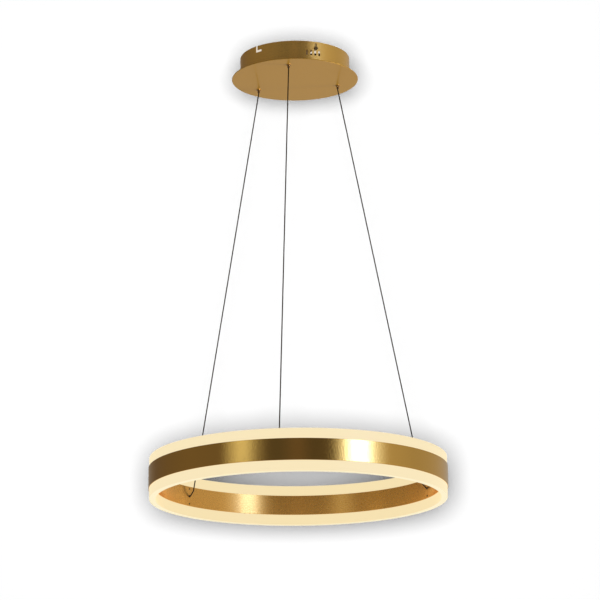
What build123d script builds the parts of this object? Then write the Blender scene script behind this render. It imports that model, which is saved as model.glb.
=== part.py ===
from build123d import *
from math import asin, atan2, cos, degrees, hypot, radians, sin, tan
import os

# Ring ceiling light: a lit ring on three wires under a round canopy.
# Millimetres, +Z up. The origin is the middle of the bracket's top face, on the ceiling,
# and the lamp hangs below it. The bracket's strap lies along Y.
# Angles are in degrees from +X, anticlockwise seen from above.

# Whole lamp
ring_diameter = 600.0
ring_drop = 891.0  # ceiling to the middle of the ring
wire_count = 3
wire_angle = 0.0  # direction of the first wire
wire_diameter = 2.4
wire_sides = 6
wire_clearance = 0.15  # wire to the bores that it runs through

# Ring: two bands round a carrier, with the diffusers glued between the bands
ring_wall = 16.0  # outer face to inner face
outer_band_height = 42.5
inner_band_height = 40.5
band_thickness = 1.5
glue_gap = 0.1
diffuser_rise = 20.0  # how far a diffuser stands past the outer band
diffuser_grip = 10.0  # how far it reaches down between the bands
carrier_sides = 18
crimp_board_gap = 0.3  # a crimp's flats to the light boards
board_margin = 0.8  # light board's edge inside the carrier's
board_thickness = 1.2
board_spacing = 2.0  # end of one board to the next

# Where a wire ends in the ring
crimp_wall = 1.0
crimp_seat_gap = 0.2
end_crimp_length = 7.0
wire_overhang = 1.2  # wire past its crimp
notch_clearance = 0.3

# Canopy: a drum on a wider plate
canopy_height = 46.0  # ceiling to the plate's underside
drum_diameter = 227.0
drum_wall = 1.2
rim_gap = 0.3  # ceiling to the drum's rim
plate_overhang = 17.5  # plate's edge outside the drum
plate_thickness = 1.5
tab_width = 14.0
tab_reach = 12.0
running_clearance = 0.1
thread_clearance = 0.05

# Cut-outs in the drum's wall, measured down from its rim
lock_slot_width = 4.4
lock_slot_top = 2.0
lock_slot_length = 15.0
hook_angle = -155.9  # middle of the hook's upright leg
hook_width = 4.8
hook_depth = 14.0
hook_length = 15.5
vent_angle = -92.8  # middle of a row of vents
vent_count = 4
vent_pitch_angle = 4.5
vent_width = 4.0
vent_height = 11.0
vent_top = 18.7

# Ceiling bracket and its screws
strap_width = 25.0
strap_thickness = 2.0
strap_bend_radius = 1.5
lug_gap = 1.1  # lug's face to the drum's inner face, on the axis
lug_drop = 18.3
screw_slot_spacing = 80.0
screw_slot_length = 20.0
screw_slot_width = 5.0
cable_hole_diameter = 10.2
lock_screw_diameter = 4.0
lock_screw_head_flats = 7.0
lock_screw_head_height = 2.8
lock_screw_tip = 3.0  # thread past the lug
lock_screw_seat = 0.3  # screw's shank to the end of its slot
head_gap = 0.1

# Wire grippers, measured up from the plate's underside
gripper_setback = 15.8  # gripper's axis inside the drum's inner face
barrel_foot_drop = 2.0  # round foot of a barrel below the plate
barrel_foot_wall = 1.7
barrel_height = 13.0
barrel_wall = 1.8  # across the flats
barrel_roof = 1.0
nozzle_wall = 1.05
nozzle_reach = 7.0  # plate's underside to the nozzle's mouth
nozzle_travel = 2.5
taper_foot = 1.0
taper_length = 4.0
taper_rise = 0.9  # bore's radius gained along the taper
collet_slit = 0.6
spring_wire = 0.5
spring_turns = 3
spring_runs = 8  # straight runs in a turn
spring_clearance = 0.15
tail_crimp_height = 16.0
tail_crimp_length = 8.0
mouth_bend_radius = 15.0
mouth_bend_gap = 0.2  # nozzle's mouth to the start of the wire's bend
knee_bend_radius = 4.0  # both bends of the knee at the ring
knee_slope = 50.0  # degrees below level, between its two bends
knee_length = 13.0  # from corner to corner
knee_lead = 2.0  # straight wire above its first bend
anchor_bend_gap = 0.3  # inner band's face to the end of the last bend

# Driver, on a pad on the plate
pad_thickness = 1.0
pad_inset = 3.0
driver_x = 16.0
driver_y = 36.0
driver_length = 112.0
driver_width = 36.0
driver_height = 20.0
driver_wall = 1.6
circuit_standoff = 2.0
circuit_thickness = 1.6
circuit_clearance = 0.5
transformer_size = 18.0
transformer_headroom = 1.2  # to the cover's roof
capacitor_length = 14.0
capacitor_width = 8.0
capacitor_headroom = 3.2
lead_notch_width = 8.0
lead_notch_height = 4.0

# Terminal block, on a pad on the plate
block_x = 32.0
block_y = -42.0
block_length = 30.0
block_width = 17.0
block_height = 14.0
pole_count = 3
pole_pitch = 9.0
screw_well_size = 4.0
screw_well_depth = 5.0
lead_entry_width = 4.0
lead_entry_height = 3.0
lead_entry_floor = 4.0  # block's foot to the floor of its entries

# Worked out from the sizes above
wire_radius = wire_diameter / 2
wire_bore = wire_radius + wire_clearance
ring_z = -ring_drop
band_outer_radius = ring_diameter / 2
band_inner_radius = band_outer_radius - ring_wall
outer_band_back = band_outer_radius - band_thickness
inner_band_back = band_inner_radius + band_thickness
channel_outer = outer_band_back - glue_gap
channel_inner = inner_band_back + glue_gap

drum_radius = drum_diameter / 2
drum_inner_radius = drum_radius - drum_wall
plate_radius = drum_radius + plate_overhang
rim_z = -rim_gap
plate_z = -canopy_height
plate_top = plate_z + plate_thickness
lug_face = drum_inner_radius - lug_gap
lock_screw_z = (
    rim_z - lock_slot_top - lock_slot_length + lock_slot_width / 2 + lock_screw_seat
)

wire_turn = 360 / wire_count
gripper_radius = drum_inner_radius - gripper_setback
gripper_angles = [wire_angle + wire_turn * i for i in range(wire_count)]
nozzle_radius = wire_bore + nozzle_wall
lip_bore = nozzle_radius + running_clearance
barrel_foot_radius = lip_bore + barrel_foot_wall
roof_foot = barrel_height - barrel_roof
mouth_z = plate_z - nozzle_reach


def at(angle, radius, height):
    """The point at an angle and a distance from the lamp's axis."""
    return Vector(radius * cos(radians(angle)), radius * sin(radians(angle)), height)


def wall_plane(angle, radius, height):
    """A plane on a round wall: its normal points outwards and its own Y points up."""
    outwards = at(angle, 1, 0)
    along = at(angle + 90, 1, 0)
    return Plane(origin=at(angle, radius, height), x_dir=along, z_dir=outwards)


def upright_plane(angle):
    """The plane through the lamp's axis at an angle: X points outwards and Y points up."""
    return Plane(origin=(0, 0, 0), x_dir=at(angle, 1, 0), z_dir=at(angle - 90, 1, 0))


def ring_of(inner, outer, low, high):
    """A plain ring about the lamp's axis, from its two radii and two heights."""
    with BuildPart() as ring:
        with BuildSketch(Plane.XZ):
            with Locations(((inner + outer) / 2, (low + high) / 2)):
                Rectangle(outer - inner, high - low)
        revolve(axis=Axis.Z)
    return ring.part


def save(part, name):
    """Labels a finished piece and writes it."""
    part.label = name
    export_step(part, f"parts/{name}.step")


os.makedirs("parts", exist_ok=True)


# Where the wires run. Each lies in the upright plane through its gripper: down out of the nozzle,
# straight to a knee just inside the ring, down the knee's slope and outwards into the inner band.
# The straight run touches the bend below the nozzle and aims at the knee's upper corner.
mouth_bend_centre = (gripper_radius + mouth_bend_radius, mouth_z - mouth_bend_gap)
slope = radians(knee_slope)
anchor_cut = knee_bend_radius * tan(slope / 2)
anchor_corner = (band_inner_radius - anchor_bend_gap - anchor_cut, ring_z)
knee_corner = (
    anchor_corner[0] - knee_length * cos(slope),
    ring_z + knee_length * sin(slope),
)
across = knee_corner[0] - mouth_bend_centre[0]
upwards = knee_corner[1] - mouth_bend_centre[1]
run_angle = atan2(upwards, across) + asin(mouth_bend_radius / hypot(across, upwards))
run_top = (
    mouth_bend_centre[0] + mouth_bend_radius * sin(run_angle),
    mouth_bend_centre[1] - mouth_bend_radius * cos(run_angle),
)
knee_cut = knee_bend_radius * tan(-(run_angle + slope) / 2)
run_bottom = (
    knee_corner[0] - (knee_cut + knee_lead) * cos(run_angle),
    knee_corner[1] - (knee_cut + knee_lead) * sin(run_angle),
)
print("straight run of a wire, its top and its bottom:", run_top, run_bottom)
print("radii of its bends:", mouth_bend_radius, knee_bend_radius)


# The ring: two bands round a carrier, with light boards on both faces of the carrier
crimp_flats = wire_diameter + 2 * crimp_wall
carrier_thickness = crimp_flats + 2 * crimp_board_gap
carrier_half = carrier_thickness / 2
half_side = radians(180 / carrier_sides)
carrier_outer_flat = channel_outer * cos(half_side)
carrier_middle = (carrier_outer_flat + channel_inner) / 2
board_width = carrier_outer_flat - channel_inner - 2 * board_margin
board_length = 2 * (carrier_middle - board_width / 2) * tan(half_side) - board_spacing

outer_band = ring_of(
    outer_band_back,
    band_outer_radius,
    ring_z - outer_band_height / 2,
    ring_z + outer_band_height / 2,
)
save(outer_band, "outer_band")

with BuildPart() as inner_band:
    add(
        ring_of(
            band_inner_radius,
            inner_band_back,
            ring_z - inner_band_height / 2,
            ring_z + inner_band_height / 2,
        )
    )
    with BuildSketch(*[wall_plane(a, band_inner_radius, ring_z) for a in gripper_angles]):
        Circle(wire_bore)
    extrude(amount=2 * band_thickness, both=True, mode=Mode.SUBTRACT)
save(inner_band.part, "inner_band")

crimp_start = inner_band_back + crimp_seat_gap
crimp_end = crimp_start + end_crimp_length
wire_end_radius = crimp_end + wire_overhang
notch_end = wire_end_radius + notch_clearance
notch_width = crimp_flats / cos(radians(30)) + 2 * notch_clearance

with BuildPart() as carrier_ring:
    with BuildSketch(Plane.XY.offset(ring_z - carrier_half)):
        RegularPolygon(channel_outer, carrier_sides, rotation=wire_angle)
        RegularPolygon(
            channel_inner,
            carrier_sides,
            major_radius=False,
            rotation=wire_angle,
            mode=Mode.SUBTRACT,
        )
        with PolarLocations(
            (band_inner_radius + notch_end) / 2, wire_count, start_angle=wire_angle
        ):
            Rectangle(notch_end - band_inner_radius, notch_width, mode=Mode.SUBTRACT)
    extrude(amount=carrier_thickness)
save(carrier_ring.part, "carrier_ring")

first_board = wire_angle + 180 / carrier_sides
for side, place in ((1, "upper"), (-1, "lower")):
    with BuildPart() as light_boards:
        with BuildSketch(Plane.XY.offset(ring_z + side * carrier_half)):
            with PolarLocations(carrier_middle, carrier_sides, start_angle=first_board):
                Rectangle(board_width, board_length)
        extrude(amount=side * board_thickness)
    save(light_boards.part, f"light_boards_{place}")

    edge = ring_z + side * outer_band_height / 2
    foot, crown = edge - side * diffuser_grip, edge + side * diffuser_rise
    diffuser = ring_of(channel_inner, channel_outer, min(foot, crown), max(foot, crown))
    save(diffuser, f"{place}_diffuser")


# The wires, each in three pieces that meet face to face, and the crimps on their ends
def across_wire(angle, origin, along):
    """The plane across a wire at a point, whose own X points round the lamp."""
    return Plane(origin=origin, x_dir=at(angle + 90, 1, 0), z_dir=along)


def crimps(planes, length):
    """Hexagonal sleeves pressed round the wires, from planes across them."""
    with BuildPart() as sleeves:
        with BuildSketch(*planes):
            RegularPolygon(crimp_flats / 2, 6, major_radius=False)
            RegularPolygon(wire_radius, wire_sides, mode=Mode.SUBTRACT)
        extrude(amount=length)
    return sleeves.part


with BuildPart() as wire_ends:
    for angle in gripper_angles:
        with BuildLine(upright_plane(angle)) as route:
            FilletPolyline(
                run_bottom,
                knee_corner,
                anchor_corner,
                (wire_end_radius, ring_z),
                radius=knee_bend_radius,
            )
        with BuildSketch(across_wire(angle, route.line @ 0, route.line % 0)):
            RegularPolygon(wire_radius, wire_sides)
        sweep()
save(wire_ends.part, "wire_ends")

for number, angle in enumerate(gripper_angles, start=1):
    with BuildPart() as free_wire:
        with BuildLine(upright_plane(angle)) as route:
            Line(run_top, run_bottom)
        with BuildSketch(across_wire(angle, route.line @ 0, route.line % 0)):
            RegularPolygon(wire_radius, wire_sides)
        sweep()
    save(free_wire.part, f"wire_{number}")

tail_crimp_z = plate_z + tail_crimp_height
tail_top_z = tail_crimp_z + tail_crimp_length + wire_overhang
with BuildPart() as wire_tails:
    for angle in gripper_angles:
        with BuildLine(upright_plane(angle)) as route:
            down = Line(
                (gripper_radius, tail_top_z), (gripper_radius, mouth_bend_centre[1])
            )
            JernArc(down @ 1, (0, -1), mouth_bend_radius, degrees(run_angle) + 90)
        with BuildSketch(across_wire(angle, route.line @ 0, route.line % 0)):
            RegularPolygon(wire_radius, wire_sides)
        sweep()
save(wire_tails.part, "wire_tails")

end_planes = [wall_plane(a, crimp_start, ring_z) for a in gripper_angles]
save(crimps(end_planes, end_crimp_length), "end_crimps")
tail_planes = [
    across_wire(a, at(a, gripper_radius, tail_crimp_z), (0, 0, 1)) for a in gripper_angles
]
save(crimps(tail_planes, tail_crimp_length), "tail_crimps")


# The canopy: a drum with its cut-outs, standing on a wider plate by three welded tabs
lock_angles = (-90, 90)
cut_reach = 4 * drum_wall

with BuildPart() as canopy_drum:
    add(ring_of(drum_inner_radius, drum_radius, plate_top, rim_z))
    tab_middle = drum_inner_radius - tab_reach / 2 + drum_wall / 4
    with BuildSketch(Plane.XY.offset(plate_top)):
        with PolarLocations(
            tab_middle, wire_count, start_angle=wire_angle + wire_turn / 2
        ):
            Rectangle(tab_reach + drum_wall / 2, tab_width)
    extrude(amount=drum_wall)

    lock_slot_z = rim_z - lock_slot_top - lock_slot_length / 2
    with BuildSketch(*[wall_plane(a, drum_radius, lock_slot_z) for a in lock_angles]):
        SlotOverall(lock_slot_length, lock_slot_width, rotation=90)
    extrude(amount=cut_reach, both=True, mode=Mode.SUBTRACT)

    hook_planes = [wall_plane(hook_angle + a, drum_radius, rim_z) for a in (0, 180)]
    with BuildSketch(*hook_planes):
        with Locations((0, -hook_depth / 2)):
            Rectangle(hook_width, hook_depth)
        with Locations((-hook_width / 2, -hook_depth)):
            Rectangle(hook_length, hook_width, align=(Align.MIN, Align.MIN))
    extrude(amount=cut_reach, both=True, mode=Mode.SUBTRACT)

    vent_z = rim_z - vent_top - vent_height / 2
    vent_angles = [
        vent_angle + half_turn + vent_pitch_angle * (i - (vent_count - 1) / 2)
        for half_turn in (0, 180)
        for i in range(vent_count)
    ]
    with BuildSketch(*[wall_plane(a, drum_radius, vent_z) for a in vent_angles]):
        Rectangle(vent_width, vent_height)
    extrude(amount=cut_reach, both=True, mode=Mode.SUBTRACT)
save(canopy_drum.part, "canopy_drum")

with BuildPart() as canopy_plate:
    with BuildSketch(Plane.XY.offset(plate_z)):
        Circle(plate_radius)
        with PolarLocations(gripper_radius, wire_count, start_angle=wire_angle):
            Circle(barrel_foot_radius + thread_clearance, mode=Mode.SUBTRACT)
    extrude(amount=plate_thickness)
save(canopy_plate.part, "canopy_plate")


# The bracket: a bent strap across the drum, with a screw through each lug and slot
lug_middle = lug_face - strap_thickness / 2

with BuildPart() as ceiling_bracket:
    with BuildSketch(Plane.YZ):
        with BuildLine():
            strap_line = FilletPolyline(
                (-lug_middle, -lug_drop),
                (-lug_middle, -strap_thickness / 2),
                (lug_middle, -strap_thickness / 2),
                (lug_middle, -lug_drop),
                radius=strap_bend_radius + strap_thickness / 2,
            )
        trace(strap_line, line_width=strap_thickness)
    extrude(amount=strap_width / 2, both=True)
    with BuildSketch(Plane.XY):
        Circle(cable_hole_diameter / 2)
        with Locations((0, -screw_slot_spacing / 2), (0, screw_slot_spacing / 2)):
            SlotOverall(screw_slot_length, screw_slot_width, rotation=90)
    extrude(amount=-strap_thickness, mode=Mode.SUBTRACT)
    with BuildSketch(*[wall_plane(a, lug_face, lock_screw_z) for a in lock_angles]):
        Circle(lock_screw_diameter / 2 + thread_clearance)
    extrude(amount=-strap_thickness, mode=Mode.SUBTRACT)
save(ceiling_bracket.part, "ceiling_bracket")

head_seat = drum_radius + head_gap
lock_shank = head_seat - (lug_face - strap_thickness - lock_screw_tip)
with BuildPart() as lock_screws:
    for angle in lock_angles:
        with BuildSketch(wall_plane(angle, head_seat, lock_screw_z)):
            Circle(lock_screw_diameter / 2)
        extrude(amount=-lock_shank)
        with BuildSketch(wall_plane(angle, head_seat, lock_screw_z)):
            RegularPolygon(lock_screw_head_flats / 2, 6, major_radius=False)
        extrude(amount=lock_screw_head_height)
save(lock_screws.part, "lock_screws")


# The grippers. A wire runs up through the nozzle, whose slit upper end is a tapered collet.
# The spring drives the collet down into the barrel's taper, where its fingers close on the wire.
# The nozzle, pushed up, opens them, and the ring can be raised or lowered.
taper_top = taper_foot + taper_length
chamber = lip_bore + taper_rise
collet_radius = nozzle_radius + taper_rise
spring_radius = collet_radius - spring_wire / 2
spring_foot = taper_top + spring_clearance + spring_wire / 2
spring_rise = roof_foot - spring_clearance - spring_wire / 2 - spring_foot
barrel_flats = 2 * (chamber + barrel_wall)
print("spring:", roof_foot - taper_top, "long,", roof_foot - taper_top - nozzle_travel, "pressed")


def gripper_plane(angle):
    """An upright plane through a gripper's axis, which is its own Y, from the plate's underside."""
    return Plane(
        origin=at(angle, gripper_radius, plate_z),
        x_dir=at(angle, 1, 0),
        z_dir=at(angle - 90, 1, 0),
    )


def gripper_axis(angle):
    """A gripper's upright axis."""
    return Axis(at(angle, gripper_radius, plate_z), (0, 0, 1))


with BuildPart() as gripper_barrels:
    for angle in gripper_angles:
        on_plate = at(angle, gripper_radius, plate_top)
        with BuildSketch(across_wire(angle, on_plate, (0, 0, 1))):
            RegularPolygon(barrel_flats / 2, 6, major_radius=False)
        extrude(amount=barrel_height - plate_thickness)
        with BuildSketch(across_wire(angle, on_plate, (0, 0, -1))):
            Circle(barrel_foot_radius)
        extrude(amount=plate_thickness + barrel_foot_drop)
        with BuildSketch(gripper_plane(angle)):
            with BuildLine():
                Polyline(
                    (0, -barrel_foot_drop),
                    (lip_bore, -barrel_foot_drop),
                    (lip_bore, taper_foot),
                    (chamber, taper_top),
                    (chamber, roof_foot),
                    (wire_bore, roof_foot),
                    (wire_bore, barrel_height),
                    (0, barrel_height),
                    close=True,
                )
            make_face()
        revolve(axis=gripper_axis(angle), mode=Mode.SUBTRACT)
save(gripper_barrels.part, "gripper_barrels")

for number, angle in enumerate(gripper_angles, start=1):
    with BuildPart() as nozzle:
        with BuildSketch(gripper_plane(angle)):
            with BuildLine():
                Polyline(
                    (wire_bore, -nozzle_reach),
                    (nozzle_radius, -nozzle_reach),
                    (nozzle_radius, taper_foot),
                    (collet_radius, taper_top),
                    (wire_bore, taper_top),
                    close=True,
                )
            make_face()
        revolve(axis=gripper_axis(angle))
        slit_foot = at(angle, gripper_radius, plate_z + taper_foot)
        with BuildSketch(across_wire(angle, slit_foot, (0, 0, 1))):
            Rectangle(4 * collet_radius, collet_slit)
        extrude(amount=2 * taper_length, mode=Mode.SUBTRACT)
    save(nozzle.part, f"gripper_nozzle_{number}")

    with BuildPart() as spring:
        with BuildLine() as coil:
            steps = spring_turns * spring_runs
            corners = [
                at(angle, gripper_radius, plate_z + spring_foot + spring_rise * i / steps)
                + at(angle + 360 * i / spring_runs, spring_radius, 0)
                for i in range(steps + 1)
            ]
            Polyline(*corners)
        with BuildSketch(across_wire(angle - 90, coil.line @ 0, coil.line % 0)):
            Rectangle(spring_wire, spring_wire)
        sweep(transition=Transition.RIGHT)
    save(spring.part, f"gripper_spring_{number}")


# The driver and the terminal block, on adhesive pads on the plate
driver_z = plate_top + pad_thickness
base_top = driver_z + driver_wall
driver_middle = (driver_x, driver_y)
inner_length = driver_length - 2 * driver_wall
inner_width = driver_width - 2 * driver_wall
circuit_length = inner_length - 2 * circuit_clearance
circuit_width = inner_width - 2 * circuit_clearance
block_middle = (block_x, block_y)

with BuildPart() as adhesive_pads:
    with BuildSketch(Plane.XY.offset(plate_top)):
        with Locations(driver_middle):
            Rectangle(driver_length - 2 * pad_inset, driver_width - 2 * pad_inset)
        with Locations(block_middle):
            Rectangle(block_length - pad_inset, block_width - pad_inset)
    extrude(amount=pad_thickness)
save(adhesive_pads.part, "adhesive_pads")

with BuildPart() as driver_base:
    with BuildSketch(Plane.XY.offset(driver_z)):
        with Locations(driver_middle):
            Rectangle(driver_length, driver_width)
    extrude(amount=driver_wall)
    with BuildSketch(Plane.XY.offset(base_top)):
        with Locations(driver_middle):
            with GridLocations(
                circuit_length - circuit_standoff, circuit_width - circuit_standoff, 2, 2
            ):
                Rectangle(circuit_standoff, circuit_standoff)
    extrude(amount=circuit_standoff)
save(driver_base.part, "driver_base")

circuit_top = base_top + circuit_standoff + circuit_thickness
roof_z = driver_z + driver_height - driver_wall
with BuildPart() as driver_circuit:
    with BuildSketch(Plane.XY.offset(circuit_top)):
        with Locations(driver_middle):
            Rectangle(circuit_length, circuit_width)
    extrude(amount=-circuit_thickness)
    with BuildSketch(Plane.XY.offset(circuit_top)):
        with Locations(driver_middle):
            Rectangle(transformer_size, transformer_size)
    extrude(amount=roof_z - transformer_headroom - circuit_top)
    with BuildSketch(Plane.XY.offset(circuit_top)):
        with Locations(driver_middle):
            with GridLocations(2 * (transformer_size + capacitor_length), 0, 2, 1):
                Rectangle(capacitor_length, capacitor_width)
    extrude(amount=roof_z - capacitor_headroom - circuit_top)
save(driver_circuit.part, "driver_circuit")

cover_height = driver_height - driver_wall
with BuildPart() as driver_cover:
    with BuildSketch(Plane.XY.offset(base_top)):
        with Locations(driver_middle):
            Rectangle(driver_length, driver_width)
    extrude(amount=cover_height)
    chamfer(driver_cover.edges().group_by(Axis.Z)[-1], driver_wall / 2)
    with BuildSketch(Plane.XY.offset(base_top)):
        with Locations(driver_middle):
            Rectangle(inner_length, inner_width)
    extrude(amount=roof_z - base_top, mode=Mode.SUBTRACT)
    with BuildSketch(Plane.XY.offset(base_top)):
        with Locations(driver_middle):
            Rectangle(driver_length, lead_notch_width)
    extrude(amount=lead_notch_height, mode=Mode.SUBTRACT)
save(driver_cover.part, "driver_cover")

block_top = driver_z + block_height
with BuildPart() as terminal_block:
    with BuildSketch(Plane.XY.offset(driver_z)):
        with Locations(block_middle):
            Rectangle(block_length, block_width)
    extrude(amount=block_height)
    with BuildSketch(Plane.XY.offset(block_top)):
        with Locations(block_middle):
            with GridLocations(pole_pitch, 0, pole_count, 1):
                Rectangle(screw_well_size, screw_well_size)
    extrude(amount=-screw_well_depth, mode=Mode.SUBTRACT)
    with BuildSketch(Plane.XY.offset(driver_z + lead_entry_floor)):
        with Locations(block_middle):
            with GridLocations(pole_pitch, 0, pole_count, 1):
                Rectangle(lead_entry_width, block_width)
    extrude(amount=lead_entry_height, mode=Mode.SUBTRACT)
save(terminal_block.part, "terminal_block")
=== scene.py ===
"""Ring ceiling light: the looks, in metres, +Z up, the origin on the ceiling as in the part's source."""
import math

import bmesh
import bpy
from mathutils import Matrix, Vector


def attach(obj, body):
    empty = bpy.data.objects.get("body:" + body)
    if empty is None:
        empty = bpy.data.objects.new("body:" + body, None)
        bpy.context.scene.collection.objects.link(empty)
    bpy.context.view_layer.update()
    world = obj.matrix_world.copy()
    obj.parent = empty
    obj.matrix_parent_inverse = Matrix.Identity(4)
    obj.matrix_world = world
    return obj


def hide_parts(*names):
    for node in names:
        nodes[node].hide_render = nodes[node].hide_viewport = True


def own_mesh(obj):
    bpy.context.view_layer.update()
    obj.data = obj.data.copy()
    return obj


# Angles round the lamp are in degrees from +X, anticlockwise seen from above.

# Ring, as in the part's source
ring_z = -0.891
band_outer = 0.300
ring_wall = 0.016
band_thickness = 0.0015
band_edge_radius = 0.0003
outer_band_half = 0.02125  # half a band's height
inner_band_half = 0.02025
glue_gap = 0.0001
diffuser_grip = 0.010
diffuser_rise = 0.020
diffuser_edge_radius = 0.0007
band_inner = band_outer - ring_wall
channel_inner = band_inner + band_thickness + glue_gap
channel_outer = band_outer - band_thickness - glue_gap
diffuser_foot = outer_band_half - diffuser_grip
diffuser_crown = outer_band_half + diffuser_rise

# Canopy
drum_radius = 0.1135
drum_wall = 0.0012
drum_edge_radius = 0.00025
rim_z = -0.0003
plate_overhang = 0.0175
plate_thickness = 0.0015
plate_edge_radius = 0.0005
plate_z = -0.046
tab_angles = (60, 180, 300)
tab_width = 0.014
tab_reach = 0.012
tab_sunk = 0.0003  # how far a tab goes into the drum's wall
drum_inner = drum_radius - drum_wall
plate_radius = drum_radius + plate_overhang
plate_top = plate_z + plate_thickness

# Cut-outs in the drum's wall, measured down from its rim
lock_angles = (-90, 90)
lock_slot_top = 0.002
lock_slot_length = 0.015
lock_slot_width = 0.0044
hook_angles = (-155.9, 24.1)
hook_width = 0.0048
hook_depth = 0.014
hook_length = 0.0155
vent_angles = (-92.8, 87.2)  # middle of each row
vent_count = 4
vent_pitch_angle = 4.5
vent_width = 0.004
vent_height = 0.011
vent_top = 0.0187
past_rim = 0.002  # cutters that are open at the top go on this far
wall_cut_depth = 0.005  # to each side of a wall's face
hole_cut_depth = 0.003
recess_depth = 0.0005

# Wires and grippers
wire_angles = (0, 120, 240)
wire_radius = 0.0012
wire_bore = 0.00135
gripper_radius = drum_inner - 0.0158
gripper_hole_radius = 0.00425
mouth_z = plate_z - 0.007
mouth_bend_gap = 0.0002
mouth_bend_radius = 0.015
knee_bend_radius = 0.004
knee_slope = math.radians(50)
knee_length = 0.013
knee_lead = 0.002
anchor_bend_gap = 0.0003
end_crimp_length = 0.007
crimp_seat_gap = 0.0002
wire_overhang = 0.0012
tail_crimp_top = 0.024  # above the plate's underside
spring_radius = 0.00305
spring_wire_radius = 0.00025
spring_low = plate_z + 0.0054
spring_high = plate_z + 0.0116
spring_turns = 4

# Where the wires run, each as (distance from the axis, height) in the upright plane through its gripper
wire_end_radius = band_inner + band_thickness + crimp_seat_gap + end_crimp_length + wire_overhang
tail_top_z = plate_z + tail_crimp_top + wire_overhang
mouth_bend_centre = (gripper_radius + mouth_bend_radius, mouth_z - mouth_bend_gap)
anchor_corner = (band_inner - anchor_bend_gap - knee_bend_radius * math.tan(knee_slope / 2), ring_z)
knee_corner = (
    anchor_corner[0] - knee_length * math.cos(knee_slope),
    ring_z + knee_length * math.sin(knee_slope),
)
across = knee_corner[0] - mouth_bend_centre[0]
upwards = knee_corner[1] - mouth_bend_centre[1]
run_angle = math.atan2(upwards, across) + math.asin(mouth_bend_radius / math.hypot(across, upwards))
run_top = (
    mouth_bend_centre[0] + mouth_bend_radius * math.sin(run_angle),
    mouth_bend_centre[1] - mouth_bend_radius * math.cos(run_angle),
)
knee_reach = knee_bend_radius * math.tan(-(run_angle + knee_slope) / 2) + knee_lead
run_bottom = (
    knee_corner[0] - knee_reach * math.cos(run_angle),
    knee_corner[1] - knee_reach * math.sin(run_angle),
)

# Fineness of the meshes
ring_segments = 512
wire_sides = 16
spring_wire_sides = 10
run_steps = 40
bend_steps = 8
knee_steps = 10
spring_steps = 24  # in a turn

# The photograph's camera, fitted to the lamp's outlines
camera_lens = 165.76
camera_turn = -22.4
camera_pitch = 14.82
camera_roll = -0.5
camera_place = (0.00655, -5.44393, -1.9600)  # before its turn round the lamp
facing = camera_turn - 90  # direction from the lamp's axis towards the camera

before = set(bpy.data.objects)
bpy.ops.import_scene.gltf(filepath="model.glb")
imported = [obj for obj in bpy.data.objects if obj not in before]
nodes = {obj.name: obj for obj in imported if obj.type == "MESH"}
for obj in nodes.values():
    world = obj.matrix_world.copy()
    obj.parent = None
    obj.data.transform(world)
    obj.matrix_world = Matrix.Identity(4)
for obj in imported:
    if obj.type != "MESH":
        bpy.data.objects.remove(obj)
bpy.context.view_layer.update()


# Objects and places
def add_object(name, data):
    """A new object in the scene."""
    thing = bpy.data.objects.new(name, data)
    bpy.context.scene.collection.objects.link(thing)
    return thing


def paint(mesh, material):
    """Gives a mesh this one material."""
    mesh.materials.clear()
    mesh.materials.append(material)


def polar(angle, radius, height=0.0):
    """The point at an angle and a distance from the lamp's axis."""
    return Vector((radius * math.cos(math.radians(angle)), radius * math.sin(math.radians(angle)), height))


def direction(angle, below):
    """The direction at an angle round the lamp and some degrees below level."""
    return polar(angle, math.cos(math.radians(below)), -math.sin(math.radians(below)))


# Shader nodes
def new_material(name):
    material = bpy.data.materials.new(name)
    material.use_nodes = True
    tree = material.node_tree
    return material, tree, tree.nodes["Principled BSDF"]


def empty_material(name):
    """A material without a shader yet, for staging."""
    material = bpy.data.materials.new(name)
    material.use_nodes = True
    material.node_tree.nodes.clear()
    return material, material.node_tree


def add_node(tree, kind, **settings):
    node = tree.nodes.new(kind)
    for key, value in settings.items():
        setattr(node, key, value)
    return node


def noise(tree, scale, stretch):
    """Noise in object space, stretched by a factor along each axis."""
    place = add_node(tree, "ShaderNodeTexCoord")
    mapping = add_node(tree, "ShaderNodeMapping")
    mapping.inputs["Scale"].default_value = stretch
    tree.links.new(place.outputs["Object"], mapping.inputs["Vector"])
    texture = add_node(tree, "ShaderNodeTexNoise")
    texture.inputs["Scale"].default_value = scale
    texture.inputs["Detail"].default_value = 4.0
    texture.inputs["Roughness"].default_value = 0.6
    tree.links.new(mapping.outputs["Vector"], texture.inputs["Vector"])
    return texture.outputs["Fac"]


def remap(tree, value, low, high, from_low=0.3, from_high=0.7):
    """The value taken from one range to another. Most of the noise lies between 0.3 and 0.7."""
    node = add_node(tree, "ShaderNodeMapRange")
    node.inputs["From Min"].default_value = from_low
    node.inputs["From Max"].default_value = from_high
    node.inputs["To Min"].default_value = low
    node.inputs["To Max"].default_value = high
    tree.links.new(value, node.inputs["Value"])
    return node.outputs["Result"]


def roughen(tree, shader, value, rough, spread):
    """Roughness that follows the noise, within a spread of its middle."""
    tree.links.new(remap(tree, value, rough - spread, rough + spread), shader.inputs["Roughness"])


def bump(tree, shader, height, strength, distance):
    node = add_node(tree, "ShaderNodeBump")
    node.inputs["Strength"].default_value = strength
    node.inputs["Distance"].default_value = distance
    tree.links.new(height, node.inputs["Height"])
    tree.links.new(node.outputs["Normal"], shader.inputs["Normal"])


def dot(tree, one, two):
    """The dot product of an output with a fixed direction or with another output."""
    node = add_node(tree, "ShaderNodeVectorMath", operation="DOT_PRODUCT")
    tree.links.new(one, node.inputs[0])
    if isinstance(two, Vector):
        node.inputs[1].default_value = two
    else:
        tree.links.new(two, node.inputs[1])
    return node.outputs["Value"]


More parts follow.
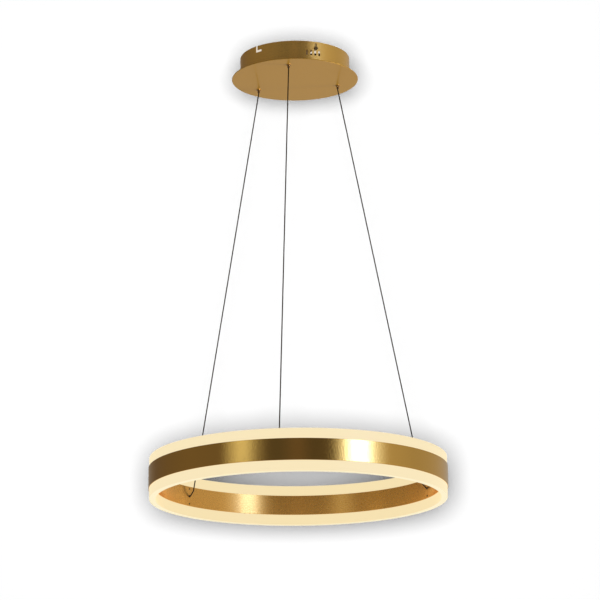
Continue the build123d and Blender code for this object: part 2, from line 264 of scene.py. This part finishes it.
def colour_ramp(tree, share, stops):
    """Colours along a share from 0 to 1. Its stops are (share, colour)."""
    ramp = add_node(tree, "ShaderNodeValToRGB")
    elements = ramp.color_ramp.elements
    for element, (place, colour) in zip(elements, (stops[0], stops[-1])):
        element.position = place
        element.color = (*colour, 1)
    for place, colour in stops[1:-1]:
        elements.new(place).color = (*colour, 1)
    tree.links.new(share, ramp.inputs["Fac"])
    return ramp.outputs["Color"]


def mix_colours(tree, share, one, two):
    """One colour where the share is 0, and the other, a fixed one, where it is 1."""
    node = add_node(tree, "ShaderNodeMixRGB")
    tree.links.new(share, node.inputs["Fac"])
    tree.links.new(one, node.inputs[1])
    node.inputs[2].default_value = (*two, 1)
    return node.outputs[0]


def mix_shaders(tree, share, one, two):
    """One shader where the share is 0, and the other where it is 1."""
    node = add_node(tree, "ShaderNodeMixShader")
    tree.links.new(share, node.inputs["Fac"])
    tree.links.new(one, node.inputs[1])
    tree.links.new(two, node.inputs[2])
    return node.outputs[0]


def add_shaders(tree, one, two):
    node = add_node(tree, "ShaderNodeAddShader")
    tree.links.new(one, node.inputs[0])
    tree.links.new(two, node.inputs[1])
    return node.outputs[0]


def end_at(tree, shader, kind="ShaderNodeOutputMaterial"):
    """Makes this shader the surface."""
    out = add_node(tree, kind)
    tree.links.new(shader, out.inputs["Surface"])


# Materials
def metal(name, colour, rough, grain=0.0, grain_scale=900.0, stretch=(1, 1, 1), spread=0.06, brushed=0.0):
    """Metal with uneven roughness and a fine grain. Brushing draws its highlights out."""
    material, tree, shader = new_material(name)
    shader.inputs["Metallic"].default_value = 1.0
    if brushed:
        shader.inputs["Anisotropic"].default_value = brushed
        shader.inputs["Anisotropic Rotation"].default_value = 0.25
        tangent = add_node(tree, "ShaderNodeTangent", direction_type="RADIAL", axis="Z")
        tree.links.new(tangent.outputs["Tangent"], shader.inputs["Tangent"])
    shader.inputs["Base Color"].default_value = (*colour, 1)
    value = noise(tree, grain_scale, stretch)
    roughen(tree, shader, value, rough, spread)
    if grain:
        bump(tree, shader, value, strength=grain, distance=0.0002)
    return material


def lacquered(name, colour, rough):
    """Satin paint with metal in it, under a clear coat that mirrors what is close."""
    material, tree, shader = new_material(name)
    shader.inputs["Metallic"].default_value = 0.45
    shader.inputs["Base Color"].default_value = (*colour, 1)
    value = noise(tree, scale=900.0, stretch=(1, 1, 1))
    roughen(tree, shader, value, rough, spread=0.04)
    shader.inputs["Coat Weight"].default_value = 0.32
    shader.inputs["Coat Roughness"].default_value = 0.03
    bump(tree, shader, value, strength=0.05, distance=0.0001)
    return material


def plastic(name, colour, rough, grain=0.05):
    material, tree, shader = new_material(name)
    shader.inputs["Base Color"].default_value = (*colour, 1)
    value = noise(tree, scale=1500.0, stretch=(1, 1, 1))
    roughen(tree, shader, value, rough, spread=0.05)
    bump(tree, shader, value, strength=grain, distance=0.0001)
    return material


def lit_opal():
    """Evenly lit: a little warmer on the inner faces and paler on the crowns."""
    material, tree, shader = new_material("lit opal")
    shader.inputs["Base Color"].default_value = (0.02, 0.02, 0.02, 1)
    shader.inputs["Roughness"].default_value = 0.35
    shader.inputs["Specular IOR Level"].default_value = 0.08
    place = add_node(tree, "ShaderNodeTexCoord")
    flat = add_node(tree, "ShaderNodeVectorMath", operation="MULTIPLY")
    flat.inputs[1].default_value = (1, 1, 0)
    tree.links.new(place.outputs["Object"], flat.inputs[0])
    outwards = add_node(tree, "ShaderNodeVectorMath", operation="NORMALIZE")
    tree.links.new(flat.outputs["Vector"], outwards.inputs[0])
    shape = add_node(tree, "ShaderNodeNewGeometry")
    turned_out = dot(tree, outwards.outputs["Vector"], shape.outputs["Normal"])
    faces = [(0.0, (0.915, 0.750, 0.435)), (0.5, (0.930, 0.820, 0.545)), (1.0, (0.940, 0.792, 0.500))]
    glow = colour_ramp(tree, remap(tree, turned_out, 0, 1, -1, 1), faces)
    tree.links.new(glow, shader.inputs["Emission Color"])
    shader.inputs["Emission Strength"].default_value = 1.0
    return material


def wire_coating():
    material, _, shader = new_material("coated wire")
    shader.inputs["Base Color"].default_value = (0.030, 0.019, 0.008, 1)
    shader.inputs["Specular IOR Level"].default_value = 0.25
    shader.inputs["Roughness"].default_value = 0.42
    return material


outer_gold = metal(
    "outer gold",
    (0.80, 0.47, 0.115),
    rough=0.115,
    grain=0.80,
    grain_scale=320.0,
    stretch=(1, 1, 0.8),
    spread=0.03,
    brushed=0.5,
)
# Gold made brighter and warmer than the outer band's as painted light: the opals' warm light reflected
# across the ring
inner_gold = metal(
    "inner gold",
    (0.93, 0.52, 0.136),
    rough=0.28,
    grain=0.06,
    grain_scale=260.0,
    stretch=(1, 1, 3),
    spread=0.02,
    brushed=0.9,
)
drum_gold = metal(
    "drum gold",
    (0.94, 0.56, 0.137),
    rough=0.30,
    grain=0.15,
    grain_scale=300.0,
    stretch=(1, 1, 14),
    spread=0.05,
    brushed=0.7,
)
drum_gold.node_tree.nodes["Principled BSDF"].inputs["Metallic"].default_value = 0.88
plate_gold = lacquered("plate gold", (0.525, 0.268, 0.019), 0.42)
lathe_marks = {"grain": 0.1, "grain_scale": 400.0, "stretch": (1, 1, 30), "spread": 0.05}
# The grippers' feet: brass darkened as painted shade of the gap round each foot in the plate
brass_darkened_for_shade = metal("brass darkened for painted shade", (0.38, 0.26, 0.12), 0.26, **lathe_marks)
bronze = metal("bronze", (0.17, 0.115, 0.055), 0.24, **lathe_marks)
zinc = metal("yellow zinc", (0.70, 0.52, 0.24), 0.18, grain=0.1, spread=0.04)
steel = metal("bright steel", (0.62, 0.62, 0.63), 0.25)
screw_metal = metal("screw", (0.16, 0.11, 0.05), 0.30)
aluminium = metal("aluminium", (0.80, 0.80, 0.82), 0.38)
white_plastic = plastic("white plastic", (0.82, 0.82, 0.79), 0.45)
natural_plastic = plastic("natural plastic", (0.86, 0.84, 0.76), 0.38)
circuit_green = plastic("circuit green", (0.03, 0.16, 0.07), 0.35)
board_white = plastic("board white", (0.85, 0.85, 0.80), 0.40)
foam = plastic("foam", (0.05, 0.05, 0.05), 0.85, grain=0.4)
opal = lit_opal()
coated = wire_coating()


# Outlines
def arc(centre, radius, start, end, steps):
    """Points along an arc, from one angle to the other in radians."""
    angles = [start + (end - start) * i / steps for i in range(steps + 1)]
    return [(centre[0] + radius * math.cos(a), centre[1] + radius * math.sin(a)) for a in angles]


def fillet(before, here, after, radius, steps):
    """The arc that rounds the corner here, between its two neighbours."""
    here = Vector(here)
    one = (Vector(before) - here).normalized()
    two = (Vector(after) - here).normalized()
    half = one.angle(two) / 2
    centre = here + (one + two).normalized() * (radius / math.sin(half))
    start = here + one * (radius / math.tan(half)) - centre
    end = here + two * (radius / math.tan(half)) - centre
    first = math.atan2(start.y, start.x)
    turn = math.atan2(end.y, end.x) - first
    turn = (turn + math.pi) % (2 * math.pi) - math.pi
    return arc(centre, radius, first, first + turn, steps)


def rounded(points, radius, steps=4):
    """A closed outline with its corners rounded. A radius may be given for each corner."""
    radii = radius if hasattr(radius, "__len__") else [radius] * len(points)
    out = []
    befores = points[-1:] + points[:-1]
    afters = points[1:] + points[:1]
    for before, here, after, corner_radius in zip(befores, points, afters, radii):
        out += fillet(before, here, after, corner_radius, steps) if corner_radius else [here]
    return out


def filleted(points, radius, steps):
    """An open line with its inner corners rounded."""
    out = [points[0]]
    for before, here, after in zip(points, points[1:], points[2:]):
        out += fillet(before, here, after, radius, steps)
    return out + [points[-1]]


def rectangle(left, right, low, high):
    return [(left, low), (right, low), (right, high), (left, high)]


def circle(radius):
    return arc((0, 0), radius, 0, 2 * math.pi, 48)[:-1]


def slot_outline(length, width):
    """An upright slot with round ends."""
    top = arc((0, (length - width) / 2), width / 2, 0, math.pi, 24)
    return top + [(-x, -y) for x, y in top]


def cross_outline(reach, half):
    """A cross: how far its arms reach from its middle, and half their width."""
    out = []
    arm = [(reach, -half), (reach, half), (half, half)]
    for _ in range(4):
        out += arm
        arm = [(-y, x) for x, y in arm]
    return out


# Meshes
def lathe_mesh(name, profile, segments=ring_segments, closed=True):
    """A profile of (radius, height) turned about the Z axis. A point on the axis makes a cap."""
    verts = []
    rows = []
    for radius, height in profile:
        if radius == 0:
            rows.append([len(verts)] * segments)
            verts.append((0, 0, height))
        else:
            rows.append(list(range(len(verts), len(verts) + segments)))
            verts += [polar(360 * i / segments, radius, height) for i in range(segments)]
    faces = []
    for one, two in zip(rows, rows[1:] + rows[:1] if closed else rows[1:]):
        for i in range(segments):
            after = (i + 1) % segments
            corners = dict.fromkeys((one[i], one[after], two[after], two[i]))
            if len(corners) > 2:
                faces.append(tuple(corners))
    mesh = bpy.data.meshes.new(name)
    mesh.from_pydata(verts, [], faces)
    shape = bmesh.new()
    shape.from_mesh(mesh)
    bmesh.ops.recalc_face_normals(shape, faces=shape.faces)
    shape.to_mesh(mesh)
    shape.free()
    return mesh


def box_mesh(name, size, matrix):
    shape = bmesh.new()
    bmesh.ops.create_cube(shape, size=1.0)
    bmesh.ops.scale(shape, vec=size, verts=shape.verts)
    bmesh.ops.transform(shape, matrix=matrix, verts=shape.verts)
    mesh = bpy.data.meshes.new(name)
    shape.to_mesh(mesh)
    shape.free()
    return mesh


def prism_mesh(name, outline, depth, matrix):
    """A flat outline given depth along its own Z, both ways, then placed."""
    shape = bmesh.new()
    lower = [shape.verts.new((x, y, -depth)) for x, y in outline]
    upper = [shape.verts.new((x, y, depth)) for x, y in outline]
    shape.faces.new(lower[::-1])
    shape.faces.new(upper)
    for i in range(-1, len(outline) - 1):
        shape.faces.new((lower[i], lower[i + 1], upper[i + 1], upper[i]))
    bmesh.ops.recalc_face_normals(shape, faces=shape.faces)
    bmesh.ops.transform(shape, matrix=matrix, verts=shape.verts)
    mesh = bpy.data.meshes.new(name)
    shape.to_mesh(mesh)
    shape.free()
    return mesh


def tube_mesh(name, path, radius, sides=wire_sides):
    """A round tube along points, with flat ends."""
    points = [Vector(point) for point in path]
    ends = len(points) - 1
    verts = []
    faces = []
    tangent = (points[1] - points[0]).normalized()
    across = tangent.orthogonal().normalized()
    for i, point in enumerate(points):
        onwards = (points[min(i + 1, ends)] - points[max(i - 1, 0)]).normalized()
        across = tangent.rotation_difference(onwards) @ across
        tangent = onwards
        side = tangent.cross(across).normalized()
        for x, y in arc((0, 0), radius, 0, 2 * math.pi, sides)[:-1]:
            verts.append(tuple(point + x * across + y * side))
    for row in range(0, ends * sides, sides):
        for k in range(sides):
            after = (k + 1) % sides
            faces.append((row + k, row + after, row + sides + after, row + sides + k))
    faces.append(tuple(range(sides))[::-1])
    faces.append(tuple(range(ends * sides, len(verts))))
    mesh = bpy.data.meshes.new(name)
    mesh.from_pydata(verts, [], faces)
    return mesh


def joined(name, meshes):
    """One mesh of several."""
    shape = bmesh.new()
    for mesh in meshes:
        shape.from_mesh(mesh)
    whole = bpy.data.meshes.new(name)
    shape.to_mesh(whole)
    shape.free()
    return whole


def cut(mesh, cutters):
    """The mesh less every cutter."""
    whole = add_object("cut body", mesh)
    tool = add_object("cutters", joined("cutters", cutters))
    modifier = whole.modifiers.new("cut", "BOOLEAN")
    modifier.operation = "DIFFERENCE"
    modifier.solver = "EXACT"
    modifier.object = tool
    graph = bpy.context.evaluated_depsgraph_get()
    result = bpy.data.meshes.new_from_object(whole.evaluated_get(graph))
    bpy.data.objects.remove(whole)
    bpy.data.objects.remove(tool)
    return result


def placed(mesh, matrix):
    mesh.transform(matrix)
    return mesh


def wall_matrix(angle, radius, height, outwards=True):
    """On a round wall: Y points up, and Z away from the lamp's axis or towards it."""
    sign = 1 if outwards else -1
    matrix = Matrix.Identity(4)
    matrix.col[0][:3] = sign * polar(angle + 90, 1)
    matrix.col[1][:3] = (0, 0, 1)
    matrix.col[2][:3] = sign * polar(angle, 1)
    matrix.col[3][:3] = polar(angle, radius, height)
    return matrix


def finish_mesh(mesh, name, material, body, stands_for=()):
    """A piece of the visual model, with smooth faces between its sharp edges."""
    thing = add_object(name, mesh)
    paint(mesh, material)
    for face in mesh.polygons:
        face.use_smooth = True
    mesh.set_sharp_from_angle(angle=math.radians(35))
    modifier = thing.modifiers.new("normals", "WEIGHTED_NORMAL")
    modifier.keep_sharp = True
    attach(thing, body)
    if stands_for:
        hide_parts(*stands_for)
    return thing


# The ring's bands and diffusers
def outer_band():
    outline = rectangle(
        band_outer - band_thickness, band_outer, ring_z - outer_band_half, ring_z + outer_band_half
    )
    mesh = lathe_mesh("outer_band_skin", rounded(outline, band_edge_radius))
    finish_mesh(mesh, "outer_band_skin", outer_gold, "ring", ["outer_band"])


def inner_band():
    """Bored through at each wire."""
    outline = rectangle(
        band_inner, band_inner + band_thickness, ring_z - inner_band_half, ring_z + inner_band_half
    )
    mesh = lathe_mesh("inner_band_skin", rounded(outline, band_edge_radius))
    holes = [
        prism_mesh("hole", circle(wire_bore), hole_cut_depth, wall_matrix(angle, band_inner, ring_z))
        for angle in wire_angles
    ]
    finish_mesh(cut(mesh, holes), "inner_band_skin", inner_gold, "ring", ["inner_band"])


def diffuser(node, foot, crown):
    outline = rectangle(channel_inner, channel_outer, *sorted((ring_z + foot, ring_z + crown)))
    name = node + "_skin"
    mesh = lathe_mesh(name, rounded(outline, diffuser_edge_radius))
    finish_mesh(mesh, name, opal, "ring", [node])


def ring_anchors():
    """Where the wires go into the inner band: a rim round each hole, and a screw above and below it."""
    sunk = 0.0003
    rim_radius = 0.0027
    rim_height = 0.0006
    rim = rounded(rectangle(wire_bore, rim_radius, -sunk, rim_height), [0, 0, 0.0004, 0.0002])
    dome = [(0, 0.00105), (0.0006, 0.00102), (0.0011, 0.00088), (0.0015, 0.00062), (0.0017, 0.0003)]
    head = [*dome, (0.0017, -sunk), (0, -sunk)]
    recess = cross_outline(0.0009, 0.0002)
    screw_rise = 0.0155
    recess_place = Matrix.Translation((0, 0, 0.0011))
    parts = []
    for angle in wire_angles:
        hole = wall_matrix(angle, band_inner, ring_z, outwards=False)
        parts.append(placed(lathe_mesh("rim", rim, 40), hole))
        for rise in (-screw_rise, screw_rise):
            plain = lathe_mesh("head", head, 32, closed=False)
            screw = cut(plain, [prism_mesh("recess", recess, recess_depth, recess_place)])
            parts.append(placed(screw, wall_matrix(angle, band_inner, ring_z + rise, outwards=False)))
    finish_mesh(joined("ring_anchors", parts), "ring_anchors", screw_metal, "ring")


outer_band()
inner_band()
diffuser("upper_diffuser", diffuser_foot, diffuser_crown)
diffuser("lower_diffuser", -diffuser_foot, -diffuser_crown)
ring_anchors()


# The canopy's drum and plate
def drum_cutters():
    """The lock slots, hooked notches and vents."""
    cutters = []
    outline = slot_outline(lock_slot_length, lock_slot_width)
    for angle in lock_angles:
        place = wall_matrix(angle, drum_radius, rim_z - lock_slot_top - lock_slot_length / 2)
        cutters.append(prism_mesh("lock", outline, wall_cut_depth, place))
    half = hook_width / 2
    outline = [
        (-half, past_rim),
        (-half, -hook_depth),
        (hook_length - half, -hook_depth),
        (hook_length - half, hook_width - hook_depth),
        (half, hook_width - hook_depth),
        (half, past_rim),
    ]
    for angle in hook_angles:
        cutters.append(prism_mesh("hook", outline, wall_cut_depth, wall_matrix(angle, drum_radius, rim_z)))
    outline = rectangle(-vent_width / 2, vent_width / 2, -vent_height / 2, vent_height / 2)
    for middle in vent_angles:
        for i in range(vent_count):
            angle = middle + vent_pitch_angle * (i - (vent_count - 1) / 2)
            place = wall_matrix(angle, drum_radius, rim_z - vent_top - vent_height / 2)
            cutters.append(prism_mesh("vent", outline, wall_cut_depth, place))
    return cutters


def drum_tabs():
    """Flat tabs at the drum's foot, which hold the plate."""
    length = tab_reach + tab_sunk
    middle = drum_inner - tab_reach + length / 2
    tabs = []
    for angle in tab_angles:
        place = Matrix.Translation(polar(angle, middle, plate_top + drum_wall / 2))
        turn = Matrix.Rotation(math.radians(angle), 4, "Z")
        tabs.append(box_mesh("tab", (length, tab_width, drum_wall), place @ turn))
    return tabs


def canopy_drum():
    outline = rectangle(drum_inner, drum_radius, plate_top, rim_z)
    drum = cut(lathe_mesh("canopy_drum_skin", rounded(outline, drum_edge_radius)), drum_cutters())
    drum = joined("canopy_drum_skin", [drum, *drum_tabs()])
    finish_mesh(drum, "canopy_drum_skin", drum_gold, "canopy", ["canopy_drum"])


def canopy_plate():
    edges = [0, plate_edge_radius, plate_edge_radius, 0]
    outline = rounded(rectangle(0, plate_radius, plate_z, plate_top), edges)
    plate = lathe_mesh("canopy_plate_skin", outline, closed=False)
    holes = [
        prism_mesh(
            "hole",
            circle(gripper_hole_radius),
            hole_cut_depth,
            Matrix.Translation(polar(angle, gripper_radius, plate_z)),
        )
        for angle in wire_angles
    ]
    return finish_mesh(
        cut(plate, holes), "canopy_plate_skin", plate_gold, "canopy", ["canopy_plate"]
    )


canopy_drum()
plate_skin = canopy_plate()


# The wires and the grippers' springs
def in_plane(angle, points):
    return [polar(angle, radius, height) for radius, height in points]


def wire_piece(name, angle, points, body, stands_for):
    tube = tube_mesh(name, in_plane(angle, points), wire_radius)
    return finish_mesh(tube, name, coated, body, [stands_for])


def wire(number, angle):
    """Its tail in the gripper, its free run and its lower end. On the real lamp the free run shortens as the
    ring is raised.
    """
    run = [
        tuple(top + (bottom - top) * i / run_steps for top, bottom in zip(run_top, run_bottom))
        for i in range(run_steps + 1)
    ]
    piece = wire_piece(f"wire_{number}_run", angle, run, "canopy", f"wire_{number}")
    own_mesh(piece)
    bend = arc(mouth_bend_centre, mouth_bend_radius, math.pi, run_angle + 1.5 * math.pi, bend_steps)
    wire_piece(f"wire_tail_{number}", angle, [(gripper_radius, tail_top_z), *bend], "canopy", "wire_tails")
    corners = [run_bottom, knee_corner, anchor_corner, (wire_end_radius, ring_z)]
    end = filleted(corners, knee_bend_radius, knee_steps)
    wire_piece(f"wire_end_{number}", angle, end, "ring", "wire_ends")


def gripper_spring(number, angle):
    """A round coil with flat end turns. On the real lamp it closes up as its nozzle is pushed."""
    coil = []
    for i in range(spring_steps * spring_turns + 1):
        turns = i / spring_steps
        climbed = min(max((turns - 0.5) / (spring_turns - 1), 0), 1)
        height = spring_low + (spring_high - spring_low) * climbed
        coil.append(polar(angle, gripper_radius, height) + polar(angle + 360 * turns, spring_radius))
    name = f"spring_coil_{number}"
    tube = tube_mesh(name, coil, spring_wire_radius, spring_wire_sides)
    spring = finish_mesh(tube, name, steel, "canopy", [f"gripper_spring_{number}"])
    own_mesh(spring)


for number, angle in enumerate(wire_angles, start=1):
    wire(number, angle)
for number, angle in enumerate(wire_angles, start=1):
    gripper_spring(number, angle)

# The pieces shown as built
shown = {
    "ceiling_bracket": zinc,
    "lock_screws": screw_metal,
    "gripper_barrels": brass_darkened_for_shade,
    "gripper_nozzle_1": bronze,
    "gripper_nozzle_2": bronze,
    "gripper_nozzle_3": bronze,
    "driver_base": white_plastic,
    "driver_cover": white_plastic,
    "driver_circuit": circuit_green,
    "terminal_block": natural_plastic,
    "adhesive_pads": foam,
    "carrier_ring": aluminium,
    "light_boards_upper": board_white,
    "light_boards_lower": board_white,
    "end_crimps": aluminium,
    "tail_crimps": aluminium,
}
for name, material in shown.items():
    paint(nodes[name].data, material)


# The camera
def camera():
    data = bpy.data.cameras.new("camera")
    data.lens = camera_lens
    data.sensor_width = 36
    thing = add_object("camera", data)
    pitch = math.radians(camera_pitch)
    roll = math.radians(camera_roll)
    right = Vector((1, 0, 0))
    up = Vector((0, -math.sin(pitch), math.cos(pitch)))
    forward = Vector((0, math.cos(pitch), math.sin(pitch)))
    spin = Matrix.Rotation(math.radians(camera_turn), 3, "Z")
    matrix = Matrix.Identity(4)
    matrix.col[0][:3] = spin @ (right * math.cos(roll) + up * math.sin(roll))
    matrix.col[1][:3] = spin @ (up * math.cos(roll) - right * math.sin(roll))
    matrix.col[2][:3] = -(spin @ forward)
    matrix.col[3][:3] = spin @ Vector(camera_place)
    thing.matrix_world = matrix
    bpy.context.scene.camera = thing


# Surroundings: white to the camera. The metal reflects a dim studio, a light floor and a light overhead.
def surroundings():
    around = [
        (-180, (0.40, 0.36, 0.30)),
        (-165, (0.23, 0.20, 0.165)),
        (-140, (0.150, 0.124, 0.104)),
        (-90, (0.185, 0.158, 0.132)),
        (-60, (0.172, 0.149, 0.129)),
        (-28, (0.115, 0.103, 0.096)),
        (-14, (0.098, 0.093, 0.090)),
        (0, (0.158, 0.130, 0.118)),
        (11, (0.092, 0.085, 0.082)),
        (28, (0.12, 0.107, 0.095)),
        (36, (0.40, 0.38, 0.34)),
        (58, (0.55, 0.54, 0.50)),
        (75, (0.50, 0.48, 0.44)),
        (100, (0.43, 0.41, 0.37)),
        (140, (0.46, 0.44, 0.40)),
        (180, (0.40, 0.36, 0.30)),
    ]
    world = bpy.data.worlds.new("studio")
    bpy.context.scene.world = world
    world.use_nodes = True
    tree = world.node_tree
    tree.nodes.clear()
    place = add_node(tree, "ShaderNodeTexCoord")
    turn = add_node(tree, "ShaderNodeVectorRotate", rotation_type="Z_AXIS")
    turn.inputs["Angle"].default_value = math.radians(-facing)
    tree.links.new(place.outputs["Generated"], turn.inputs["Vector"])
    split = add_node(tree, "ShaderNodeSeparateXYZ")
    tree.links.new(turn.outputs["Vector"], split.inputs["Vector"])
    angle = add_node(tree, "ShaderNodeMath", operation="ARCTAN2")
    tree.links.new(split.outputs["Y"], angle.inputs[0])
    tree.links.new(split.outputs["X"], angle.inputs[1])
    share = remap(tree, angle.outputs[0], 0, 1, -math.pi, math.pi)
    walls = colour_ramp(tree, share, [((degrees + 180) / 360, colour) for degrees, colour in around])
    below = remap(tree, split.outputs["Z"], 1, 0, -0.05, 0.02)
    with_floor = mix_colours(tree, below, walls, (0.46, 0.45, 0.43))
    above = remap(tree, split.outputs["Z"], 0, 1, 0.82, 0.97)
    whole = mix_colours(tree, above, with_floor, (0.95, 0.94, 0.92))
    studio = add_node(tree, "ShaderNodeBackground")
    tree.links.new(whole, studio.inputs["Color"])
    white = add_node(tree, "ShaderNodeBackground")
    white.inputs["Color"].default_value = (1, 1, 1, 1)
    path = add_node(tree, "ShaderNodeLightPath")
    either = mix_shaders(tree, path.outputs["Is Camera Ray"], studio.outputs[0], white.outputs[0])
    end_at(tree, either, "ShaderNodeOutputWorld")


# Staging
def light_at(stops, here):
    """The light at a place between its stops, which are (place, light)."""
    for (one, one_light), (two, two_light) in zip(stops, stops[1:]):
        if here <= two:
            return Vector(one_light).lerp(Vector(two_light), (here - one) / (two - one))
    return Vector(stops[-1][1])


def softbox(name, stops, low, high, distance):
    """An upright curved softbox seen only in reflections. Its stops are directions, measured from the
    camera's, and the light at each. It fades out over the top and bottom quarters of its height."""
    steps = 60
    rows = 12
    verts = []
    faces = []
    glows = []
    first = stops[0][0]
    last = stops[-1][0]
    for i in range(steps + 1):
        here = first + (last - first) * i / steps
        light = light_at(stops, here)
        for k in range(rows + 1):
            verts.append(polar(facing + here, distance, low + (high - low) * k / rows))
            glows += [*(light * min(1.0, 4 * k / rows, 4 * (rows - k) / rows)), 1.0]
    for i in range(steps):
        for k in range(rows):
            corner = i * (rows + 1) + k
            faces.append((corner, corner + 1, corner + rows + 2, corner + rows + 1))
    mesh = bpy.data.meshes.new(name)
    mesh.from_pydata(verts, [], faces)
    glow = mesh.attributes.new("glow", "FLOAT_COLOR", "POINT")
    glow.data.foreach_set("color", glows)
    thing = add_object(name, mesh)
    material, tree = empty_material(name)
    read = add_node(tree, "ShaderNodeAttribute", attribute_name="glow")
    shine = add_node(tree, "ShaderNodeEmission")
    tree.links.new(read.outputs["Color"], shine.inputs["Color"])
    clear = add_node(tree, "ShaderNodeBsdfTransparent")
    end_at(tree, add_shaders(tree, shine.outputs[0], clear.outputs[0]))
    mesh.materials.append(material)
    thing.visible_camera = False
    thing.visible_diffuse = False
    thing.visible_shadow = False


def softboxes():
    key_stops = [
        (20, (0, 0, 0)),
        (24, (0.05, 0.06, 0.07)),
        (29, (0.36, 0.43, 0.56)),
        (34, (0.95, 1.30, 2.3)),
        (40, (3.4, 5.2, 11.0)),
        (50, (3.4, 5.2, 11.0)),
        (54, (1.0, 1.5, 3.4)),
        (60, (0.42, 0.60, 1.1)),
        (68, (0, 0, 0)),
    ]
    fill_stops = [
        (-54.5, (0, 0, 0)),
        (-45.5, (0.48, 0.55, 0.58)),
        (-40.5, (0.74, 0.86, 0.92)),
        (-35.5, (0.67, 0.78, 0.83)),
        (-28.5, (0.20, 0.22, 0.22)),
        (-20.5, (0, 0, 0)),
    ]
    softbox("key_softbox", key_stops, low=-0.75, high=0.05, distance=2.6)
    softbox("fill_softbox", fill_stops, low=-0.804, high=-0.312, distance=1.6)


def light_only(light, name, pieces):
    """The light falls on these pieces alone."""
    lit = bpy.data.collections.new(name)
    bpy.context.scene.collection.children.link(lit)
    for piece in pieces:
        lit.objects.link(piece)
    light.light_linking.receiver_collection = lit


def add_light(name, kind, energy):
    data = bpy.data.lights.new(name, kind)
    data.energy = energy
    return add_object(name, data)


def wall():
    """A white wall behind the lamp that takes the lamp's faint shadow. It fades out between 9.6 and 11.5
    degrees off the photograph's direction, so it isn't there when seen from another side."""
    wall_distance = 7.0
    half = 6.0
    clear_cosine = 0.980
    white_cosine = 0.986
    light_aside = 0.018
    light_above = 0.027
    camera_object = bpy.context.scene.camera
    side, up, back = (camera_object.matrix_world.col[i].to_3d() for i in range(3))
    centre = camera_object.location - back * wall_distance
    corners = rectangle(-half, half, -half, half)
    mesh = bpy.data.meshes.new("wall")
    mesh.from_pydata([centre + side * x + up * y for x, y in corners], [], [(0, 1, 2, 3)])
    thing = add_object("wall", mesh)
    material, tree = empty_material("wall")
    glow = add_node(tree, "ShaderNodeEmission")
    glow.inputs["Strength"].default_value = 0.115
    dull = add_node(tree, "ShaderNodeBsdfDiffuse")
    dull.inputs["Color"].default_value = (0.02, 0.02, 0.02, 1)
    white = add_shaders(tree, glow.outputs[0], dull.outputs[0])
    clear = add_node(tree, "ShaderNodeBsdfTransparent")
    shape = add_node(tree, "ShaderNodeNewGeometry")
    straight = dot(tree, shape.outputs["Incoming"], back)
    aside = remap(tree, straight, 1, 0, clear_cosine, white_cosine)
    end_at(tree, mix_shaders(tree, aside, white, clear.outputs[0]))
    mesh.materials.append(material)
    thing.visible_diffuse = False
    thing.visible_glossy = False
    thing.visible_transmission = False
    thing.visible_shadow = False
    light = add_light("wall light", "POINT", 88000.0)
    light.data.shadow_soft_size = 0.215
    light.location = camera_object.location - side * light_aside + up * light_above
    light_only(light, "wall only", [thing])


def ceiling():
    """The ceiling inside the drum's rim, seen from below through the drum's cut-outs and not there for
    anything else. Its glow is painted light, bright along the near rim and dark beyond as painted shade
    where the canopy's inner parts would hide it."""
    light_to = -0.0375
    dark_from = -0.0335
    mesh = lathe_mesh("ceiling", [(0, 0), (drum_inner, 0)], 64, closed=False)
    thing = add_object("ceiling", mesh)
    thing.location.z = rim_z - 0.0001
    material, tree = empty_material("ceiling")
    shine = add_node(tree, "ShaderNodeEmission")
    shine.inputs["Color"].default_value = (0.76, 0.68, 0.58, 1)
    spot = add_node(tree, "ShaderNodeTexCoord")
    depth = dot(tree, spot.outputs["Object"], polar(facing + 180, 1))
    # Painted shade: the painted glow dims from the near rim towards the back
    tree.links.new(remap(tree, depth, 1.0, 0.01, light_to, dark_from), shine.inputs["Strength"])
    clear = add_node(tree, "ShaderNodeBsdfTransparent")
    shape = add_node(tree, "ShaderNodeNewGeometry")
    split = add_node(tree, "ShaderNodeSeparateXYZ")
    tree.links.new(shape.outputs["Incoming"], split.inputs["Vector"])
    path = add_node(tree, "ShaderNodeLightPath")
    seen = add_node(tree, "ShaderNodeMath", operation="MULTIPLY")
    tree.links.new(path.outputs["Is Camera Ray"], seen.inputs[0])
    tree.links.new(remap(tree, split.outputs["Z"], 1, 0, -0.001, 0.001), seen.inputs[1])
    end_at(tree, mix_shaders(tree, seen.outputs[0], clear.outputs[0], shine.outputs[0]))
    mesh.materials.append(material)


def low_key():
    """A soft low light from the right. It gives the plate its tone and the grippers their short shadows."""
    distance = 4.0
    light = add_light("low key", "POINT", 482.0)
    light.data.shadow_soft_size = 0.31
    light.location = direction(facing + 90, below=38) * distance
    nozzles = [nodes[f"gripper_nozzle_{number}"] for number in (1, 2, 3)]
    light_only(light, "lit from below", [plate_skin, *nozzles, nodes["gripper_barrels"]])


def glint():
    """A sun on the grippers' feet, which gives them their bright rims."""
    light = add_light("glint", "SUN", 9.0)
    light.data.angle = math.radians(14)
    light.rotation_euler = direction(facing + 80, below=30).to_track_quat("Z", "Y").to_euler()
    light_only(light, "gripper feet", [nodes["gripper_barrels"]])


camera()
softboxes()
wall()
ceiling()
low_key()
glint()
surroundings()
bpy.context.scene.view_settings.view_transform = "Standard"
bpy.context.scene.view_settings.look = "None"
